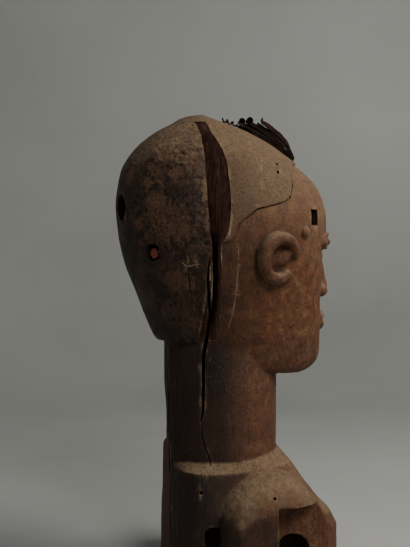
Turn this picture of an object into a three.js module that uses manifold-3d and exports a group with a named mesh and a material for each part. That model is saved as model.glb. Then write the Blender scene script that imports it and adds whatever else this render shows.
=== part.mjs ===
// A carved wooden ancestor figure, kept as a bust: head, thick neck and shoulders are one log, with a
// long drying split down the right side and the bed of a lost splinter beside it, a crest of thin
// hide strips over the brow, a broken peg in the back of the hair and small dark studs for pupils.
// Millimetres, +Z up. The figure faces -Y, its right side is -X, and the origin is on the flat
// underside, on the axis of the neck.
import * as THREE from 'three';
import { LoftGeometry } from 'three/addons/geometries/LoftGeometry.js';
import { mergeVertices } from 'three/addons/utils/BufferGeometryUtils.js';
import Module from 'manifold-3d';

const wasm = await Module();
wasm.setup();

// Neck and torso
const NECK_RADIUS = 43.2;
const NECK_BACK_AT_HAIR = 47; // the nape thickens upwards
const LEDGE_Z = 97.3; // foot of the neck, at the back and the sides
const LEDGE_RISE = 6; // the foot of the neck climbs this much to the front
const TORSO_FLANK = 58; // half width of the torso at its cut foot
const BACK_Y = 43.6; // the flat back
const SPINE_X = -3; // the crack down it
const SHOULDER = {
  back: 21.5, front: -68, top: 92, arch: 42, inside: 20, outside: 79, round: 33,
  slope: 1.8, // how much straighter than a round arch the top falls to the front
};
const ARM_FRONT = -19; // the front of the arm, where the shoulder in front of it is cut back
const OVERHANG_Z = 69; // underside of the shoulder in front of the arm
const HOLLOW = { back: 29.5, top: 53.5, corner: 6, inside: 34 }; // beside and behind the arm
const ARCH = { back: -22, front: -51, top: 45 }; // the round front end of that opening

// Head
const HAIR_EDGE_Z = 187.5; // underside of the hair at the nape
const EYE_Z = 265;
const EYE_X = 29;
const BROW_Z = 275;
const NOSE_BASE_Z = 221;
const MOUTH_Z = 203;
const EAR = { y: -24, z: 251, ring: 15, rim: 5.2, proud: 3 };
const PEG = { place: [-38.9, 65.3, 255], radius: 4, length: 18.7 };
const CLEARANCE = 0.3;

// The hair, from the nape to the crown: how far it reaches back, forward and sideways of the axis
// of the neck, and how far back it is widest.
const HAIR_STATIONS = [
  { z: 187.5, back: 49, front: 60, side: 43, widest: 2 },
  { z: 192, back: 55.2, front: 62, side: 46.6, widest: 3 },
  { z: 225, back: 69, front: 76, side: 61, widest: 6 },
  { z: 256, back: 80, front: 81, side: 68.6, widest: 9 },
  { z: 290, back: 84.9, front: 83.5, side: 70.6, widest: 11 },
  { z: 314, back: 82.4, front: 71.5, side: 66.5, widest: 12 },
  { z: 328, back: 77, front: 54.5, side: 60.5, widest: 13 },
  { z: 340.5, back: 67, front: 36.5, side: 49.5, widest: 14 },
  { z: 350, back: 55, front: 20, side: 37, widest: 15 },
  { z: 357.5, back: 42, front: -1, side: 25.5, widest: 16 },
  { z: 362.5, back: 33, front: -14.5, side: 13.5, widest: 17 },
  { z: 365.6, back: 20.5, front: -17, side: 2.5, widest: 18 },
];

// The bare head in the same terms, from the underside of the jaw to inside the hair. Its lower
// rings tilt, so that the jaw reaches lower at the chin than at the nape.
const FACE_STATIONS = [
  { z: 168, back: 40, front: 44.5, side: 39, widest: 0, tilt: 0.17 },
  { z: 171, back: 40, front: 62, side: 40, widest: 0, tilt: 0.17 },
  { z: 177, back: 41, front: 73.5, side: 41.5, widest: 0, tilt: 0.17 },
  { z: 186, back: 43, front: 79.5, side: 44, widest: 0, tilt: 0.16 },
  { z: 204, back: 50, front: 80, side: 51, widest: 1, tilt: 0.13 },
  { z: 228, back: 64, front: 79.5, side: 59.5, widest: 5, tilt: 0.08 },
  { z: 252, back: 76, front: 80.5, side: 66.2, widest: 8, tilt: 0.03 },
  { z: 275, back: 81.5, front: 83, side: 69.4, widest: 10, tilt: 0 },
  { z: 292, back: 83, front: 81.5, side: 69.3, widest: 11, tilt: 0 },
  { z: 308, back: 81, front: 74.5, side: 66.4, widest: 12, tilt: 0 },
  { z: 320, back: 77.5, front: 62, side: 61, widest: 12, tilt: 0 },
  { z: 330, back: 72, front: 48, side: 55.5, widest: 13, tilt: 0 },
  { z: 343, back: 60, front: 29, side: 43, widest: 14, tilt: 0 },
  { z: 354, back: 36, front: 3, side: 18, widest: 16, tilt: 0 },
];

// The lower rim of the hair seen from the side, as [y, z]: over the brow, down to the ear, back
// over the ear and down behind it to the nape.
const HAIRLINE = [
  [-100, 327], [-61, 327], [-44, 324], [-38, 315.5], [-35.5, 307], [-33.5, 297.5], [-26, 292.7],
  [-16, 290], [0, 283], [11, 275], [15, 264], [29, 261], [30, 180], [110, 180], [110, 380],
  [-100, 380],
];

// The torso from its cut foot to the foot of the neck.
const TORSO_STATIONS = [
  { z: 0, back: BACK_Y, front: 88, side: TORSO_FLANK },
  { z: 43, back: BACK_Y, front: 88, side: TORSO_FLANK },
  { z: 54, back: BACK_Y, front: 82, side: 57 },
  { z: 63, back: BACK_Y, front: 72, side: 55.5 },
  { z: 76, back: BACK_Y, front: 60.5, side: 53 },
  { z: 91, back: BACK_Y, front: 48.4, side: 50 },
  { z: LEDGE_Z, back: 41.6, front: 43.8, side: 43.6 },
];

// The bed of the splinter that is lost beside the split, as sections across the log: the half width
// of the wood there, where the two lips lie along Y, and its depth at the left lip. From the right
// lip it slopes down to that depth.
const BED_STATIONS = [
  { z: 190, side: 41, left: 24.1, right: 17.4, deep: 6 },
  { z: 207, side: 47.5, left: 24, right: 18.2, deep: 13 },
  { z: 236, side: 59.5, left: 25.5, right: 19.6, deep: 16 },
  { z: 262, side: 66, left: 28.5, right: 21.6, deep: 17 },
  { z: 270, side: 67.5, left: 30.4, right: 17.8, deep: 16 },
  { z: 280, side: 68.5, left: 31.3, right: 15.4, deep: 16 },
  { z: 302, side: 67, left: 32.7, right: 15.7, deep: 16 },
  { z: 319.5, side: 62.6, left: 32.5, right: 16.7, deep: 15 },
  { z: 331, side: 56.6, left: 32, right: 18.8, deep: 13 },
  { z: 344, side: 46, left: 30.6, right: 21.8, deep: 9 },
  { z: 356, side: 31, left: 30.5, right: 24, deep: 4 },
];

// The deep split itself: its place along Y at the surface, its width there and its depth.
const SPLIT_STATIONS = [
  { z: 128, side: 34, y: 27.4, width: 1, deep: 8 },
  { z: 138, side: 35.4, y: 25.9, width: 2.2, deep: 14 },
  { z: 175, side: 35.8, y: 25.9, width: 2.8, deep: 24 },
  { z: 186, side: 36.5, y: 24.9, width: 3.6, deep: 28 },
  { z: 207, side: 46.4, y: 24.3, width: 2.6, deep: 34 },
  { z: 236, side: 59.9, y: 29.5, width: 2.2, deep: 30 },
  { z: 252, side: 64, y: 29.4, width: 1, deep: 12 },
];
const SLANT = 0.31; // both lean forward as they go in

// The hide strips, each nailed down by its front end: place across the head, how far back it
// reaches, how high its free end stands off the hair, how far it is turned on edge there, and how
// much thicker it is in its front half.
const STRIPS = [
  { x: -11, end: -10, lift: 4.8, turn: 32, layer: 0, body: 2.6 },
  { x: -10, end: -15.5, lift: 7, turn: 32, layer: 1, body: 1.4 },
  { x: -9, end: -22, lift: 7.4, turn: 32, layer: 2, body: 0.3 },
  { x: -8, end: -24.5, lift: 9.6, turn: 40, layer: 3, body: 1 },
  { x: 4, end: -15, lift: 5, turn: -20, layer: 0, body: 2 },
  { x: 5, end: -21, lift: 8.5, turn: -30, layer: 1, body: 2 },
];
const STRIP = { width: 7.6, thickness: 1, front: -55.5, steepness: 2.2 };

const WOOD = new THREE.MeshStandardMaterial({ name: 'old_wood', color: 0x5a3a27, roughness: 0.75 });
const HIDE = new THREE.MeshStandardMaterial({ name: 'dark_hide', color: 0x1b1512, roughness: 0.6 });
const PEG_WOOD = new THREE.MeshStandardMaterial({ name: 'peg_wood', color: 0x6a2f1c, roughness: 0.7 });
const STUD = new THREE.MeshStandardMaterial({
  name: 'dark_iron', color: 0x15110f, roughness: 0.35, metalness: 0.8,
});

// A closed geometry as a solid that can be cut and joined.
function solid(geometry) {
  const bare = new THREE.BufferGeometry();
  bare.setAttribute('position', geometry.attributes.position);
  bare.setIndex(geometry.index);
  const merged = mergeVertices(bare, 1e-3);
  const corners = merged.index.array;
  const triVerts = [];
  for (let i = 0; i < corners.length; i += 3) {
    const [a, b, c] = corners.subarray(i, i + 3);
    if (a !== b && b !== c && c !== a) triVerts.push(a, b, c);
  }
  const vertProperties = merged.attributes.position.array;
  return new wasm.Manifold(
    new wasm.Mesh({ numProp: 3, vertProperties, triVerts: new Uint32Array(triVerts) }),
  );
}

// A solid as a geometry again.
function geometryOf(made) {
  const mesh = made.getMesh();
  const geometry = new THREE.BufferGeometry();
  geometry.setAttribute('position', new THREE.BufferAttribute(mesh.vertProperties, mesh.numProp));
  geometry.setIndex(new THREE.BufferAttribute(mesh.triVerts, 1));
  geometry.computeVertexNormals();
  return geometry;
}

function loft(rings) {
  return solid(new LoftGeometry(rings, { capStart: true, capEnd: true }));
}

function both(made) {
  return made.add(made.mirror([1, 0, 0]));
}

// The stations with more rings between them, on a smooth curve through each value.
function between(stations, rings) {
  const names = Object.keys(stations[0]);
  const curves = names.map((name) => new THREE.SplineCurve(
    stations.map((station, i) => new THREE.Vector2(i, station[name])),
  ));
  return Array.from({ length: rings }, (_, i) => Object.fromEntries(
    names.map((name, k) => [name, curves[k].getPoint(i / (rings - 1)).y]),
  ));
}

// One horizontal ring; square is [front, back], 2 for an oval half and more for a squarer one, and
// height(y) gives each point its height.
function ring({ back, front, side, widest = 0 }, square, points, height) {
  return Array.from({ length: points }, (_, i) => {
    const turn = (i / points) * 2 * Math.PI;
    const ahead = Math.cos(turn) > 0;
    const power = 2 / square[ahead ? 0 : 1];
    const across = Math.sign(Math.sin(turn)) * Math.abs(Math.sin(turn)) ** power;
    const along = Math.abs(Math.cos(turn)) ** power;
    const y = ahead ? widest - (front + widest) * along : widest + (back - widest) * along;
    return new THREE.Vector3(side * across, y, height(y));
  });
}

// A plate of a side outline [y, z] from one X to another.
function sidePlate(outline, from, to) {
  const shape = new THREE.Shape(outline.map(([y, z]) => new THREE.Vector2(y, z)));
  const geometry = new THREE.ExtrudeGeometry(shape, { depth: to - from, bevelEnabled: false });
  geometry.translate(0, 0, from);
  geometry.applyMatrix4(new THREE.Matrix4().makeBasis(
    new THREE.Vector3(0, 1, 0), new THREE.Vector3(0, 0, 1), new THREE.Vector3(1, 0, 0),
  ));
  return solid(geometry);
}

// An ellipsoid, turned about Z.
function ellipsoid(radii, centre, turn = 0, segments = 16) {
  const geometry = new THREE.SphereGeometry(1, segments, Math.round(segments * 0.7));
  geometry.scale(...radii);
  geometry.rotateZ(turn);
  geometry.translate(...centre);
  return solid(geometry);
}

// A round pin or hole that runs inwards from a point of the head towards its middle.
function radialPin(radius, depth, [x, y, z], segments = 14) {
  const geometry = new THREE.CylinderGeometry(radius, radius, depth, segments);
  geometry.rotateZ(Math.PI / 2);
  geometry.rotateZ(Math.atan2(y, x));
  const reach = 1 - depth / 2 / Math.hypot(x, y);
  geometry.translate(x * reach, y * reach, z);
  return solid(geometry);
}

// A rod along a path; outline(share) gives its section as [across, up] pairs, anticlockwise.
function swept(path, steps, outline) {
  const { normals, binormals } = path.computeFrenetFrames(steps, false);
  return loft(Array.from({ length: steps + 1 }, (_, i) => outline(i / steps).map(([across, up]) => (
    path.getPointAt(i / steps).addScaledVector(normals[i], across).addScaledVector(binormals[i], up)
  ))));
}

function ovalSection(halfAcross, halfUp, points = 8) {
  return Array.from({ length: points }, (_, i) => {
    const turn = (i / points) * 2 * Math.PI;
    return [halfAcross * Math.cos(turn), halfUp * Math.sin(turn)];
  });
}

// A rod that thins towards both ends, like a lip or a rim.
function taperedRod(points, halfAcross, halfUp, steps, endShare = 0.35) {
  const path = new THREE.CatmullRomCurve3(points.map((point) => new THREE.Vector3(...point)));
  return swept(path, steps, (share) => {
    const size = endShare + (1 - endShare) * Math.sin(Math.PI * share) ** 0.6;
    return ovalSection(halfAcross * size, halfUp * size);
  });
}

const OVAL = [2, 2];
const HEAD_SQUARENESS = [2.25, 2];
const FACE_RINGS = between(FACE_STATIONS, 26);

// The Y of the bare face at a place across and up.
function faceY(x, z) {
  const [square] = HEAD_SQUARENESS;
  const places = FACE_RINGS.filter(({ side }) => side > Math.abs(x)).map((station) => {
    const share = (1 - (Math.abs(x) / station.side) ** square) ** (1 / square);
    const y = station.widest - (station.front + station.widest) * share;
    return { y, z: station.z + station.tilt * y };
  });
  const next = places.findIndex((place) => place.z > z);
  const [low, high] = [places[next - 1], places[next]];
  return THREE.MathUtils.mapLinear(z, low.z, high.z, low.y, high.y);
}

function bareHead() {
  return loft(FACE_RINGS.map(
    (station) => ring(station, HEAD_SQUARENESS, 48, (y) => station.z + station.tilt * y),
  ));
}

// The shell of hair stands proud of the head, most of all over the brow and at the nape.
function hair() {
  const rings = between(HAIR_STATIONS, 21).map(
    (station) => ring(station, HEAD_SQUARENESS, 48, () => station.z),
  );
  return loft(rings).intersect(sidePlate(HAIRLINE, -90, 90));
}

function neck() {
  const foot = { back: NECK_RADIUS, front: NECK_RADIUS, side: NECK_RADIUS };
  const top = { ...foot, back: NECK_BACK_AT_HAIR };
  return loft([
    ring(foot, OVAL, 44, () => LEDGE_Z - 20),
    ring(top, OVAL, 44, () => HAIR_EDGE_Z + 10),
  ]);
}

// A C-shaped ear, open to the front below, with a leaf-shaped lobe in its hollow; on the right.
function ear() {
  const rim = [];
  for (let turn = 4; turn <= 316; turn += 39) {
    const angle = THREE.MathUtils.degToRad(turn);
    const out = EAR.proud * Math.sin(angle / 2);
    rim.push([-out, -EAR.ring * Math.cos(angle), EAR.ring * 1.02 * Math.sin(angle)]);
  }
  const leaf = ellipsoid([3.4, 8, 4.8], [0, 0, 0], 0, 10).rotate([-40, 0, 0]).translate([-0.8, -4.5, 0]);
  const dish = ellipsoid([3.2, 14, 14], [1.5, 0, 0], 0, 10);
  const made = taperedRod(rim, EAR.rim + 1, EAR.rim, 13, 0.6).add(dish).add(leaf);
  return made.rotate([0, -11, 15]).translate([-62, EAR.y, EAR.z]);
}

function nose() {
  const stations = [
    { z: NOSE_BASE_Z, side: 8, proud: 4 },
    { z: NOSE_BASE_Z + 3, side: 12, proud: 9 },
    { z: NOSE_BASE_Z + 9, side: 12, proud: 10.5 },
    { z: NOSE_BASE_Z + 18, side: 8.5, proud: 8.5 },
    { z: EYE_Z - 10, side: 6.5, proud: 5 },
    { z: EYE_Z, side: 6, proud: 3 },
    { z: BROW_Z + 2, side: 7, proud: 0.5 },
  ];
  const bridge = loft(stations.map(({ z, side, proud }) => {
    const face = -faceY(0, z);
    return ring({ back: 12 - face, front: face + proud, side, widest: 6 - face }, OVAL, 16, () => z);
  }));
  const wing = ellipsoid([5.4, 8.5, 5.6], [-8, faceY(9, NOSE_BASE_Z + 6) - 1.5, NOSE_BASE_Z + 6], 0.3, 12);
  return bridge.add(both(wing));
}

function lips() {
  const lip = (z, sag, halfWidth, thick) => {
    const points = [-1, -0.5, 0, 0.5, 1].map((share) => {
      const x = share * halfWidth;
      const height = z + sag * (1 - share ** 2);
      return [x, faceY(x, height) - 0.5, height];
    });
    return taperedRod(points, thick, 4.6, 14, 0.3);
  };
  return lip(MOUTH_Z + 1.5, 2.6, 18.5, 4).add(lip(MOUTH_Z - 0.5, -4.4, 17.5, 4.2));
}

// An almond lid in a shallow socket under the brow; on the figure's right.
const SOCKET_TURN = 0.36;
function socket() {
  const y = faceY(EYE_X, EYE_Z - 1);
  return ellipsoid([18, 6, 10], [-EYE_X, y - 1.5, EYE_Z - 1.5], -SOCKET_TURN, 18);
}

function lid() {
  const y = faceY(EYE_X, EYE_Z);
  return ellipsoid([12, 6, 5.6], [-EYE_X, y + 3, EYE_Z], -SOCKET_TURN, 16);
}

function pupilPlace() {
  return [-EYE_X - 1, faceY(EYE_X, EYE_Z) - 1.4, EYE_Z];
}

// The round scars that stand up from the skin: one at the root of the nose, one at each temple.
function scars() {
  const boss = ellipsoid([6, 9, 9.5], [0, faceY(0, 268) - 0.5, 268], 0, 12);
  const knob = ellipsoid([4, 4, 4], [-57.5, -47, 271], 0, 10);
  return boss.add(both(knob));
}

const TORSO_SQUARENESS = [3.6, 3.4];
function torso() {
  const rings = TORSO_STATIONS.map((station) => ring(
    station,
    station.z < LEDGE_Z ? TORSO_SQUARENESS : OVAL,
    36,
    (y) => station.z + (station.z / LEDGE_Z) ** 6 * LEDGE_RISE * Math.max(0, -y / NECK_RADIUS),
  ));
  return loft(rings);
}

// On the left of the crack down the back, the ledge around the neck rises towards the back.
function raisedLedge() {
  const rings = [[85, 0], [101, 0], [105, 3]].map(([z, inset]) => ring(
    { back: BACK_Y - inset / 2, front: 48.4, side: 50 - inset }, TORSO_SQUARENESS, 36, () => z,
  ));
  return loft(rings).intersect(sidePlate([[16, 80], [60, 80], [60, 110], [34, 110]], SPINE_X, 60));
}

// The right shoulder with the upper arm: a block under a round arch, rounded off at its outer end,
// cut back in front of the arm and opened between arm and torso.
function shoulder() {
  const { back, front, top, arch, inside, outside, round, slope } = SHOULDER;
  const steps = 5;
  const middle = (back + front) / 2;
  const rings = [];
  for (let k = -1; k <= steps; k += 1) {
    const turn = (Math.max(0, k) / steps) * 1.35;
    const x = k < 0 ? -inside : -(outside - round + round * Math.sin(turn));
    const inset = round * (1 - Math.cos(turn));
    const half = (back - front) / 2 - inset * 0.45;
    const outline = [];
    for (let i = 0; i <= 12; i += 1) {
      const angle = (i / 12) * Math.PI;
      const rise = Math.sin(angle) ** (i < 6 ? slope : 1);
      outline.push(new THREE.Vector3(
        x, middle - half * Math.cos(angle), top - arch + (arch - inset) * rise,
      ));
    }
    outline.push(new THREE.Vector3(x, middle + half, 0), new THREE.Vector3(x, middle - half, 0));
    rings.push(outline);
  }
  const cutBack = sidePlate(
    [[-110, -5], [ARM_FRONT, -5], [ARM_FRONT, OVERHANG_Z], [-110, OVERHANG_Z]],
    -outside - 10, -TORSO_FLANK,
  );
  return loft(rings).subtract(cutBack);
}

// The opening between arm and torso: square behind the arm, and round where it ends in front of it.
function armHollow() {
  const arc = (centreY, centreZ, radius, from, to, steps) => Array.from({ length: steps + 1 }, (_, i) => {
    const angle = (from + ((to - from) * i) / steps) * Math.PI;
    return [centreY + radius * Math.cos(angle), centreZ + radius * Math.sin(angle)];
  });
  const { back, top, corner, inside } = HOLLOW;
  const radius = (ARCH.back - ARCH.front) / 2;
  return sidePlate([
    [ARCH.front, -5],
    [back, -5],
    ...arc(back - corner, top - corner, corner, 0, 0.5, 3),
    [ARCH.back, top],
    ...arc(ARCH.back - radius, ARCH.top - radius, radius, 0, 1, 7),
  ], -TORSO_FLANK - CLEARANCE, -inside);
}

// The sunken bed that the lost splinter leaves, from behind the jaw almost to the crown.
function splinterBed() {
  const outside = 25;
  return loft(BED_STATIONS.map(({ z, side, left, right, deep }) => [
    new THREE.Vector3(deep - side, left - deep * SLANT, z),
    new THREE.Vector3(-side - outside, left + outside * SLANT, z),
    new THREE.Vector3(-side - outside, right - 3, z),
    new THREE.Vector3(-side, right, z),
    new THREE.Vector3(1.5 - side, right + 1.2, z),
  ]));
}

// The drying split runs down the neck from the bed, towards the heart of the log.
function split() {
  const outside = 10;
  return loft(SPLIT_STATIONS.map(({ z, side, y, width, deep }) => [
    new THREE.Vector3(deep - side, y - deep * SLANT, z),
    new THREE.Vector3(-side, y + width / 2, z),
    new THREE.Vector3(-side - outside, y + width / 2 + outside * SLANT, z),
    new THREE.Vector3(-side - outside, y - width / 2 + outside * SLANT, z),
    new THREE.Vector3(-side, y - width / 2, z),
  ]));
}

// A drying crack down the middle of the back.
function spineGroove() {
  const [floor, outside, top] = [BACK_Y - 2.6, BACK_Y + 8, HAIR_EDGE_Z - 1.5];
  const outline = [[floor, -5], [outside, -5], [outside, top], [floor, top]];
  return sidePlate(outline, SPINE_X - 1.4, SPINE_X + 1.4);
}

// The square hole over the right temple.
function slot() {
  const geometry = new THREE.BoxGeometry(24, 9, 12);
  geometry.rotateZ(Math.PI / 4);
  geometry.translate(-49, -55.5, 283);
  return solid(geometry);
}

const holes = [
  radialPin(9.2, 26, [-10.3, 90, 290]),
  radialPin(7.4, 20, [-42, 70.5, 255]),
  radialPin(PEG.radius + CLEARANCE, PEG.length + CLEARANCE, PEG.place, 10),
  slot(),
];

// The crest's strips follow the middle line of the hair back from the brow.
const DOME = new THREE.SplineCurve(
  HAIR_STATIONS.filter(({ z }) => z >= 314).map(({ front, z }) => new THREE.Vector2(-front, z)),
);

function domePoint(y) {
  let [low, high] = [0, 1];
  for (let i = 0; i < 24; i += 1) {
    const middle = (low + high) / 2;
    if (DOME.getPoint(middle).x < y) low = middle;
    else high = middle;
  }
  return { at: DOME.getPoint(low), along: DOME.getTangent(low) };
}

function strip({ x, end, lift, turn, layer, body }) {
  const half = STRIP.width / 2;
  const thick = STRIP.thickness / 2;
  const risen = (share) => 1 - (1 - share) ** STRIP.steepness;
  const fall = x ** 2 / 220;
  const foot = CLEARANCE + STRIP.thickness * (0.9 + layer * 1.4) - fall;
  const points = [];
  for (let i = 0; i <= 8; i += 1) {
    const { at, along } = domePoint(THREE.MathUtils.lerp(STRIP.front, end, i / 8));
    const stand = foot + lift * risen(i / 8);
    points.push(new THREE.Vector3(x, at.x - along.y * stand, at.y + along.x * stand));
  }
  return swept(new THREE.CatmullRomCurve3(points), 9, (share) => {
    const roll = -THREE.MathUtils.degToRad(turn) * risen(share);
    const under = thick + body * risen(share) * (1 - THREE.MathUtils.smoothstep(share, 0.6, 1));
    const corners = [[-half, -under], [half, -under], [half, thick], [-half, thick]];
    return corners.map(([across, up]) => [
      across * Math.cos(roll) - up * Math.sin(roll),
      across * Math.sin(roll) + up * Math.cos(roll),
    ]);
  });
}

// A shred of the same hide, twisted on the hair behind the strips.
function curl() {
  const points = Array.from({ length: 13 }, (_, i) => {
    const turn = i * 1.6;
    const { at } = domePoint(4 - 1.05 * i);
    return new THREE.Vector3(-14 + 1.9 * Math.sin(turn), at.x, at.y + 2 + 1.1 * Math.cos(turn));
  });
  return swept(new THREE.CatmullRomCurve3(points), 24, () => ovalSection(0.75, 0.75, 5));
}

function carvedFigure() {
  const head = bareHead().add(hair()).subtract(both(socket())).add(both(lid()));
  const face = nose().add(lips()).add(scars());
  const trunk = neck().add(torso()).add(raisedLedge());
  const body = trunk.add(both(shoulder())).subtract(both(armHollow()));
  let made = head.add(face).add(both(ear())).add(body);
  const studs = both(ellipsoid([3.1, 3.1, 3.1], pupilPlace(), 0, 10));
  [splinterBed(), split(), spineGroove(), studs, ...holes].forEach((cut) => {
    made = made.subtract(cut);
  });
  return made;
}

const root = new THREE.Group();
function add(name, made, material) {
  const mesh = new THREE.Mesh(geometryOf(made), material);
  mesh.name = name;
  root.add(mesh);
}
add('carved_figure', carvedFigure(), WOOD);
STRIPS.forEach((one, i) => add(`crest_strip_${i + 1}`, strip(one), HIDE));
add('crest_curl', curl(), HIDE);
add('nape_peg', radialPin(PEG.radius, PEG.length, PEG.place, 10), PEG_WOOD);
const [pupilX, pupilY, pupilZ] = pupilPlace();
add('eye_stud_right', ellipsoid([2.8, 2.8, 2.8], [pupilX, pupilY, pupilZ], 0, 10), STUD);
add('eye_stud_left', ellipsoid([2.8, 2.8, 2.8], [-pupilX, pupilY, pupilZ], 0, 10), STUD);
export default root;
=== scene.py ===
import math

import bpy
import numpy as np
from mathutils import Matrix, Vector
from mathutils.bvhtree import BVHTree


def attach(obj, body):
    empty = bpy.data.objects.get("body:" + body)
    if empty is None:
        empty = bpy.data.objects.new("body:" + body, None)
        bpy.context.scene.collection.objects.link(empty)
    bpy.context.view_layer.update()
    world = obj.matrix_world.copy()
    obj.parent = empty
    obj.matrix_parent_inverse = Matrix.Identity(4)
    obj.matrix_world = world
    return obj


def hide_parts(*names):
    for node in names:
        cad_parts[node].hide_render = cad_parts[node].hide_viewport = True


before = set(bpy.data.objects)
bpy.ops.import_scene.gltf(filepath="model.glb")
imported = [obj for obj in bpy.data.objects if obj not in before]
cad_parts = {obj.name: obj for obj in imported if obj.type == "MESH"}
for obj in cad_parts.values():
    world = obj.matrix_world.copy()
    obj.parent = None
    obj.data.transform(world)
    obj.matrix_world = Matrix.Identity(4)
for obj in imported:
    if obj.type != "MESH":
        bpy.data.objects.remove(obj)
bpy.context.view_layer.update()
MM = 0.001

# Neck and torso
NECK_RADIUS = 43.2
NECK_BACK_AT_HAIR = 47
LEDGE_Z, RAISED_LEDGE_Z = 97.3, 105
LEDGE_RISE = 6
TORSO_FLANK = 58
BACK_Y, SPINE_X = 43.6, -3
SHOULDER_BACK, SHOULDER_FRONT = 21.5, -68
SHOULDER_TOP, SHOULDER_ARCH = 92, 42
SHOULDER_INSIDE, SHOULDER_OUTSIDE, SHOULDER_ROUND, SHOULDER_SLOPE = 20, 79, 33, 1.8
ARM_FRONT = -19
OVERHANG_Z = 69
GAP_BACK, GAP_TOP, GAP_CORNER, GAP_INSIDE = 29.5, 53.5, 6, 34
ARCH_BACK, ARCH_FRONT, ARCH_TOP = -22, -51, 45

# Head
HAIR_EDGE_Z = 187.5
EYE_Z = 265
EYE_X, EYE_TURN = 29, -0.36
NOSE_BASE_Z = 221
MOUTH_Z = 203
EAR_Y, EAR_Z, EAR_RING, EAR_RIM, EAR_PROUD = -24, 251, 15, 5.2, 3
PEG_PLACE, PEG_RADIUS, PEG_LENGTH = (-38.9, 65.3, 255), 4, 18.7
STUD_RADIUS = 2.8
NAPE_HOLE, BACK_HOLE, SQUARE_HOLE = (-42, 70.5, 255), (-10.3, 90, 290), (-49, -55.5, 283)
CLEARANCE = 0.3

# The fine mesh of the carving: how far apart its points are, how often it is smoothed, and the
# triangles that it keeps.
VOXEL, SMOOTHING, CARVING_TRIANGLES = 0.9, 3, 150000

# Rings of the hair and of the bare head, as z, back, front, side, where widest, tilt.
HAIR_RINGS = (
    (187.5, 49, 60, 43, 2, 0), (192, 55.2, 62, 46.6, 3, 0), (225, 69, 76, 61, 6, 0),
    (256, 80, 81, 68.6, 9, 0), (290, 84.9, 83.5, 70.6, 11, 0), (314, 82.4, 71.5, 66.5, 12, 0),
    (328, 77, 54.5, 60.5, 13, 0), (340.5, 67, 36.5, 49.5, 14, 0), (350, 55, 20, 37, 15, 0),
    (357.5, 42, -1, 25.5, 16, 0), (362.5, 33, -14.5, 13.5, 17, 0), (365.6, 20.5, -17, 2.5, 18, 0),
)
FACE_RINGS = (
    (168, 40, 44.5, 39, 0, 0.17), (171, 40, 62, 40, 0, 0.17), (177, 41, 73.5, 41.5, 0, 0.17),
    (186, 43, 79.5, 44, 0, 0.16), (204, 50, 80, 51, 1, 0.13), (228, 64, 79.5, 59.5, 5, 0.08),
    (252, 76, 80.5, 66.2, 8, 0.03), (275, 81.5, 83, 69.4, 10, 0), (292, 83, 81.5, 69.3, 11, 0),
    (308, 81, 74.5, 66.4, 12, 0), (320, 77.5, 62, 61, 12, 0), (330, 72, 48, 55.5, 13, 0),
    (343, 60, 29, 43, 14, 0), (354, 36, 3, 18, 16, 0),
)
HEAD_SQUARENESS = (2.25, 2)
OVAL = (2, 2)

# The lower rim of the hair seen from the side, as y and z.
HAIRLINE = (
    (-100, 327), (-61, 327), (-44, 324), (-38, 315.5), (-35.5, 307), (-33.5, 297.5), (-26, 292.7),
    (-16, 290), (0, 283), (11, 275), (15, 264), (29, 261), (30, 180), (110, 180), (110, 380),
    (-100, 380),
)
RIM_POINTS = slice(1, 12)
NAPE_Y, NAPE_Z = 29.5, 184

# Rings of the torso as z, back, front, side.
TORSO_RINGS = (
    (0, BACK_Y, 88, 58), (43, BACK_Y, 88, 58), (54, BACK_Y, 82, 57), (63, BACK_Y, 72, 55.5),
    (76, BACK_Y, 60.5, 53), (91, BACK_Y, 48.4, 50), (97.3, 41.6, 43.8, 43.6),
)
TORSO_SQUARENESS = (3.6, 3.4)

# The bed of the lost splinter as z, half width of the wood, left lip, right lip and the depth at
# the left lip, down to which it slopes from the right lip.
BED = (
    (190, 41, 24.1, 17.4, 6), (207, 47.5, 24, 18.2, 13), (236, 59.5, 25.5, 19.6, 16),
    (262, 66, 28.5, 21.6, 17), (265, 66.8, 29.2, 19.6, 17), (270, 67.5, 30.4, 17.8, 16),
    (280, 68.5, 31.3, 15.4, 16), (302, 67, 32.7, 15.7, 16), (319.5, 62.6, 32.5, 16.7, 15),
    (331, 56.6, 32, 18.8, 13), (344, 45, 30.6, 21.8, 10), (356, 27.8, 30.5, 21.5, 6),
)

# The deep split as z, half width of the wood, place along Y, width at the surface and depth.
SPLIT = (
    (128, 34, 27.4, 0.8, 8), (138, 35.4, 25.9, 2.0, 14), (175, 35.8, 25.9, 2.8, 24),
    (186, 36.5, 24.9, 3.6, 28), (207, 46.4, 24.3, 2.6, 34), (236, 59.9, 29.5, 2.2, 30),
    (252, 64, 29.4, 0.8, 12),
)
SPLIT_SLANT, GRAIN_STEP = 0.31, 1.5

# The hide strips as place across, y of the free end, lift, turn in degrees, layer, how much thicker
# the front half is, and how far the end is rolled.
STRIPS = (
    (-11, -10, 4.8, 32, 0, 2.6, 1.0), (-10, -15.5, 7, 32, 1, 1.4, 0.9),
    (-9, -22, 7.4, 32, 2, 0.3, 0.0), (-8, -24.5, 9.6, 40, 3, 1.8, 0.2),
    (4, -15, 5, -20, 0, 2, 0.3), (5, -21, 8.5, -30, 1, 2, 0.3),
)
STRIP_WIDTH, STRIP_THICKNESS, STRIP_FRONT, STRIP_STEEPNESS = 7.6, 1, -54.3, 4.4
# How many points the layers at a strip's edge have, and how the dome falls off to the sides.
LAYER_POINTS, DOME_FALL = 7, 220

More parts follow.
